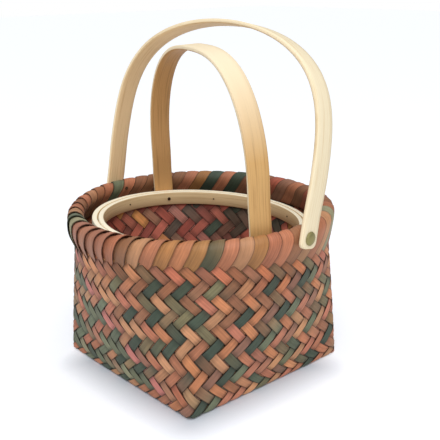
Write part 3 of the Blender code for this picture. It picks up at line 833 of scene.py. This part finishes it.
def bent_band(name, line, matrix, body, node, finishes):
    """Bent wooden band with eased edges and rounded ends."""
    lengths = line_lengths(line)
    total = lengths[-1]
    ends = [BAND_END * share for share in (0.0, 0.03, 0.1, 0.22, 0.4, 0.65, 1.0)]
    inner = list(np.linspace(BAND_END, total - BAND_END, BAND_STATIONS)[1:-1])
    stations = np.array(ends + inner + [total - end for end in reversed(ends)])

    def at(places):
        return np.stack([np.interp(places, lengths, line[:, k]) for k in range(2)], axis=-1)

    x, z = at(stations).T
    way = at(stations + BAND_LOOK) - at(stations - BAND_LOOK)
    way /= np.linalg.norm(way, axis=-1, keepdims=True)
    out = np.stack([way[:, 1], -way[:, 0]], axis=-1)
    from_end = np.minimum(np.minimum(stations, total - stations), BAND_END)
    rest = BAND_END - from_end
    narrow = BAND_END - np.sqrt(np.maximum(BAND_END ** 2 - rest ** 2, 0))
    wide = BAND_WIDTH / 2 - narrow
    thick = BAND_THICKNESS / 2
    shares = [-1.0, -0.5, 0.0, 0.5, 1.0]
    strips = Strips()

    def grid(side):
        rows = []
        for index in range(len(stations)):
            row = []
            flat = [(wide[index] - BAND_EDGE) * share for share in shares]
            for place, value in enumerate([-wide[index], *flat, wide[index]]):
                away = thick - BAND_EDGE if place in (0, 6) else thick
                px = x[index] + out[index, 0] * away * side
                pz = z[index] + out[index, 1] * away * side
                row.append((px, value, pz))
            rows.append(row)
        return np.array(rows)

    place = np.array(matrix)
    top = moved(grid(1.0)[:, ::-1], place)
    bottom = moved(grid(-1.0)[:, ::-1], place)
    across = np.array([-1.0, -0.9, -0.45, 0.0, 0.45, 0.9, 1.0]) * BAND_WIDTH / 2
    strips.add(top, bottom, stations, across, np.ones((len(stations), 3)))
    item = strips.build(name, finishes, sharp=60.0)
    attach(item, body)
    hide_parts(node)


def hoop(name, size, node, finishes):
    """Wooden hoop of the smaller basket's rim, by its outer radius and thickness."""
    count = HOOP_STEPS
    outer, thickness = size
    inner = outer - thickness
    high = HOOP_TOP
    low = high - HOOP_HEIGHT
    middle = (low + high) / 2
    edge = HOOP_EDGE
    bevel = edge * 0.3
    profile = [
        (outer, low + edge), (outer, middle), (outer, high - edge),
        (outer - bevel, high - bevel), (outer - edge, high),
        (inner + edge, high), (inner + bevel, high - bevel),
        (inner, high - edge), (inner, middle), (inner, low + edge),
        (inner + edge, low), (outer - edge, low),
    ]
    points, quads, grain = [], [], []
    corners = len(profile)
    runs = line_lengths(np.array(profile + profile[:1]))
    for step in range(count):
        angle = 2 * math.pi * step / count
        for radius, height in profile:
            points.append((radius * math.cos(angle), radius * math.sin(angle), height))
    for step in range(count):
        here = step * corners
        after = (step + 1) % count * corners
        start = outer * 2 * math.pi * step / count
        end = outer * 2 * math.pi * (step + 1) / count
        for index in range(corners):
            second = (index + 1) % corners
            quads.append((here + index, after + index, after + second, here + second))
            near, far = runs[index], runs[index + 1]
            grain += [(start, near), (end, near), (end, far), (start, far)]
    mesh = bpy.data.meshes.new(name)
    mesh.from_pydata(points, [], quads)
    layer = mesh.uv_layers.new(name="grain")
    layer.data.foreach_set("uv", np.array(grain, np.float32).ravel())
    mesh.transform(NEST)
    mesh.shade_smooth()
    mesh.set_sharp_from_angle(angle=math.radians(60))
    for finish in finishes:
        mesh.materials.append(finish)
    inner_faces = [1 if 6 <= index % corners <= 9 else 0 for index in range(len(quads))]
    mesh.polygons.foreach_set("material_index", inner_faces)
    item = bpy.data.objects.new(name, mesh)
    bpy.context.scene.collection.objects.link(item)
    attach(item, "inner_basket")
    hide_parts(node)


# Camera fitted to the photograph: distances in ridge radii, focal length in pixels
CAMERA_AWAY = 6.01
CAMERA_UP = 3.03
CAMERA_TURN = math.radians(50.06)
CAMERA_ASIDE = math.radians(-1.51)
CAMERA_PITCH = math.radians(17.32)
CAMERA_ROLL = math.radians(-0.587)
FOCAL_PIXELS = 780
PHOTO_PIXELS = 440
SENSOR = 36


def place_camera():
    """Camera at the photograph's place."""
    turn = CAMERA_TURN
    look = turn + CAMERA_ASIDE
    pitch = CAMERA_PITCH
    roll = CAMERA_ROLL
    away = Vector((CAMERA_AWAY * math.sin(turn), -CAMERA_AWAY * math.cos(turn), CAMERA_UP))
    centre = away * RIDGE_RADIUS
    back = Vector((
        math.sin(look) * math.cos(pitch), -math.cos(look) * math.cos(pitch), math.sin(pitch),
    ))
    right = Vector((math.cos(look), math.sin(look), 0))
    up = back.cross(right)
    side = right * math.cos(roll) + up * math.sin(roll)
    head = up * math.cos(roll) - right * math.sin(roll)
    data = bpy.data.cameras.new("camera")
    data.lens = FOCAL_PIXELS * SENSOR / PHOTO_PIXELS
    data.sensor_width = SENSOR
    item = bpy.data.objects.new("camera", data)
    item.matrix_world = Matrix((
        (side.x, head.x, back.x, centre.x), (side.y, head.y, back.y, centre.y),
        (side.z, head.z, back.z, centre.z), (0, 0, 0, 1),
    ))
    bpy.context.scene.collection.objects.link(item)
    bpy.context.scene.camera = item


# Painted light on the floor: a camera-only glow, nil within a square set towards the base's front
# corner, fades in beyond it and hides the real shadow there
SHADE_FORWARD = 0.018
FADE_FROM = 0.002
FADE_TO = 0.031
FADE_LIGHT = 0.42


def floor_material():
    """White paper that the camera sees darker and bluer, as painted shade near the basket, and that
    a painted glow fades to plain white away from the basket's front sides.
    """
    item, tree, shader = new_material("floor_white")
    shader.inputs["Base Color"].default_value = (0.88, 0.88, 0.88, 1)
    shader.inputs["Roughness"].default_value = 0.9
    shader.inputs["Specular IOR Level"].default_value = 0.1
    apart = object_axes(tree)
    reach = []
    for axis, back in (("X", -SHADE_FORWARD), ("Y", SHADE_FORWARD)):
        shifted = math_node(tree, "ADD", apart, axis, back)
        length = math_node(tree, "ABSOLUTE", shifted, "Value")
        over = math_node(tree, "SUBTRACT", length, "Value", SIDE / 2 - SHADE_FORWARD)
        over.use_clamp = True
        reach.append(math_node(tree, "POWER", over, "Value", 2.0))
    both = math_node(tree, "ADD", reach[0], "Value")
    node_link(tree, reach[1], "Value", both, 1)
    root = math_node(tree, "SQRT", both, "Value")
    fade = range_node(tree, root, "Value", FADE_FROM, FADE_TO, 0.0, FADE_LIGHT)
    # Painted shade: the camera sees darker, bluer paper than other rays do, which deepens the
    # shadow near the base
    paper = tree.nodes.new("ShaderNodeBsdfDiffuse")
    paper.inputs["Color"].default_value = (0.62, 0.65, 0.71, 1)
    # Painted light: a glow seen by the camera only, rising away from the base's front sides
    glow = tree.nodes.new("ShaderNodeEmission")
    node_link(tree, fade, "Result", glow, "Strength")
    seen = tree.nodes.new("ShaderNodeAddShader")
    node_link(tree, paper, 0, seen, 0)
    node_link(tree, glow, 0, seen, 1)
    camera_mix(tree, shader, seen, tree.nodes["Material Output"])
    return item


def camera_mix(tree, plain, seen, output):
    """Give the camera one shader and every other ray the plain one."""
    path = tree.nodes.new("ShaderNodeLightPath")
    mix = tree.nodes.new("ShaderNodeMixShader")
    node_link(tree, path, "Is Camera Ray", mix, 0)
    node_link(tree, plain, 0, mix, 1)
    node_link(tree, seen, 0, mix, 2)
    node_link(tree, mix, 0, output, "Surface")


def background(tree, strength):
    """Plain white background light."""
    item = tree.nodes.new("ShaderNodeBackground")
    item.inputs["Color"].default_value = (1.0, 1.0, 1.0, 1)
    item.inputs["Strength"].default_value = strength
    return item


FLOOR_HALF = 6.0
WORLD_STRENGTH = 0.42
SUN_STRENGTH = 1.5
SUN_ANGLE = math.radians(70)
SUN_FROM = Vector((0.20, -0.12, 1.0))
KEY_PLACE = Vector((1.05, -0.90, 1.25))
KEY_TARGET = Vector((0.0, 0.0, 0.08))
KEY_SIZE = 1.0
KEY_POWER = 12.0


def studio():
    """White floor that keeps its shadow near the basket's front sides, under painted shade and glow
    for the camera; white surroundings, a soft sun and a soft box light.
    """
    scene = bpy.context.scene
    scene.view_settings.view_transform = "Standard"
    mesh = bpy.data.meshes.new("floor")
    size = FLOOR_HALF
    corners = [(-size, -size, 0), (size, -size, 0), (size, size, 0), (-size, size, 0)]
    mesh.from_pydata(corners, [], [(0, 1, 2, 3)])
    floor = bpy.data.objects.new("floor", mesh)
    scene.collection.objects.link(floor)
    mesh.materials.append(floor_material())
    world = bpy.data.worlds.new("studio")
    scene.world = world
    world.use_nodes = True
    tree = world.node_tree
    tree.nodes.clear()
    output = tree.nodes.new("ShaderNodeOutputWorld")
    camera_mix(tree, background(tree, WORLD_STRENGTH), background(tree, 1.0), output)
    sun = bpy.data.lights.new("top", "SUN")
    sun.energy = SUN_STRENGTH
    sun.angle = SUN_ANGLE
    lamp = bpy.data.objects.new("top", sun)
    lamp.rotation_euler = SUN_FROM.to_track_quat("Z", "Y").to_euler()
    scene.collection.objects.link(lamp)
    key = bpy.data.lights.new("key", "AREA")
    key.shape = "SQUARE"
    key.size = KEY_SIZE
    key.energy = KEY_POWER
    lamp = bpy.data.objects.new("key", key)
    lamp.location = KEY_PLACE
    lamp.rotation_euler = (KEY_TARGET - KEY_PLACE).to_track_quat("-Z", "Y").to_euler()
    scene.collection.objects.link(lamp)


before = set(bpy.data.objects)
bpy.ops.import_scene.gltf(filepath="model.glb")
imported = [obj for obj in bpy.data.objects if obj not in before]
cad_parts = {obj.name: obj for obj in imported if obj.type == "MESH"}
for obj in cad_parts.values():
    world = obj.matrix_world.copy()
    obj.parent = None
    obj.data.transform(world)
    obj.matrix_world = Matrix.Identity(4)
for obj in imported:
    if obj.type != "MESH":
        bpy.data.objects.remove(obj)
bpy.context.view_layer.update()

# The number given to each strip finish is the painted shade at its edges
STRIP_FINISH = strip_material("dyed_wood_strip_painted_shade", 0.16)
FOLD_FINISH = strip_material("dyed_wood_fold_painted_shade", 0.38)
CREAM = wood_material("pale_bentwood_outside", (240, 226, 194), (222, 196, 150))
CREAM_EDGE = wood_material("pale_bentwood_edge", (242, 224, 190), (220, 194, 150))
TAN = wood_material("pale_bentwood_inside", (228, 198, 154), (204, 168, 122))
HONEY = wood_material("brown_bentwood_outside_painted_light", (206, 164, 106), (168, 124, 72),
                      painted_light_color=(244, 228, 196))
BROWN = wood_material("brown_bentwood_inside", (200, 153, 98), (164, 122, 74))
HOOP_OUTSIDE = wood_material("hoop_wood_outside", (250, 242, 218), (236, 218, 182))
HOOP_INSIDE = wood_material("hoop_wood_inside", (226, 198, 152), (198, 166, 120))
OUTER_BRASS = rivet_material("aged_brass_large_handle", 0.1075)
INNER_BRASS = rivet_material("aged_brass_small_handle", 0.0880)
IRON = nail_material()

outer_walls()
outer_border()
base_strips("outer_base_strips", SIDE - BASE_SHORT, STRIPS, 0.00105, "outer_basket", "outer_body",
            None, OUTER_SPARE, SEED + 3)
inner_walls()
base_strips("inner_base_strips", INNER_SIDE - BASE_SHORT, INNER_STRIPS, 0.0010, "inner_basket",
            "inner_body", NEST_ARRAY, INNER_SPARE, SEED + 4)

OUTER_PIVOT = Matrix.Translation((0.0, 0.0, OUTER_PIVOT_HEIGHT))
OUTER_PIVOT @= Matrix.Rotation(OUTER_PIVOT_TURN, 4, "Z")
OUTER_LEAN = OUTER_PIVOT @ Matrix.Rotation(OUTER_LEAN_ANGLE, 4, "X")
INNER_PIVOT = NEST @ Matrix.Translation(
    (0.0, INNER_PIVOT_FORWARD, HOOP_TOP - INNER_PIVOT_BELOW_HOOP))
INNER_LEAN = INNER_PIVOT @ Matrix.Rotation(INNER_LEAN_ANGLE, 4, "X")
bent_band("outer_handle_band", arch_line(**OUTER_ARCH), OUTER_LEAN,
          "outer_handle", "outer_handle", [CREAM, CREAM_EDGE, TAN])
bent_band("inner_handle_band", arch_line(**INNER_ARCH), INNER_LEAN,
          "inner_handle", "inner_handle", [HONEY, CREAM_EDGE, BROWN])
hoop("inner_hoop_outer_band", HOOP_OUTSIDE_SIZE, "inner_hoop_outside",
     [HOOP_OUTSIDE, HOOP_INSIDE])
hoop("inner_hoop_inner_band", HOOP_INSIDE_SIZE, "inner_hoop_inside",
     [HOOP_OUTSIDE, HOOP_INSIDE])

for label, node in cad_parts.items():
    if "rivet" in label:
        node.data.materials.clear()
        node.data.materials.append(OUTER_BRASS if label.startswith("outer") else INNER_BRASS)
    if "pin" in label:
        node.data.materials.clear()
        node.data.materials.append(IRON)

studio()
place_camera()
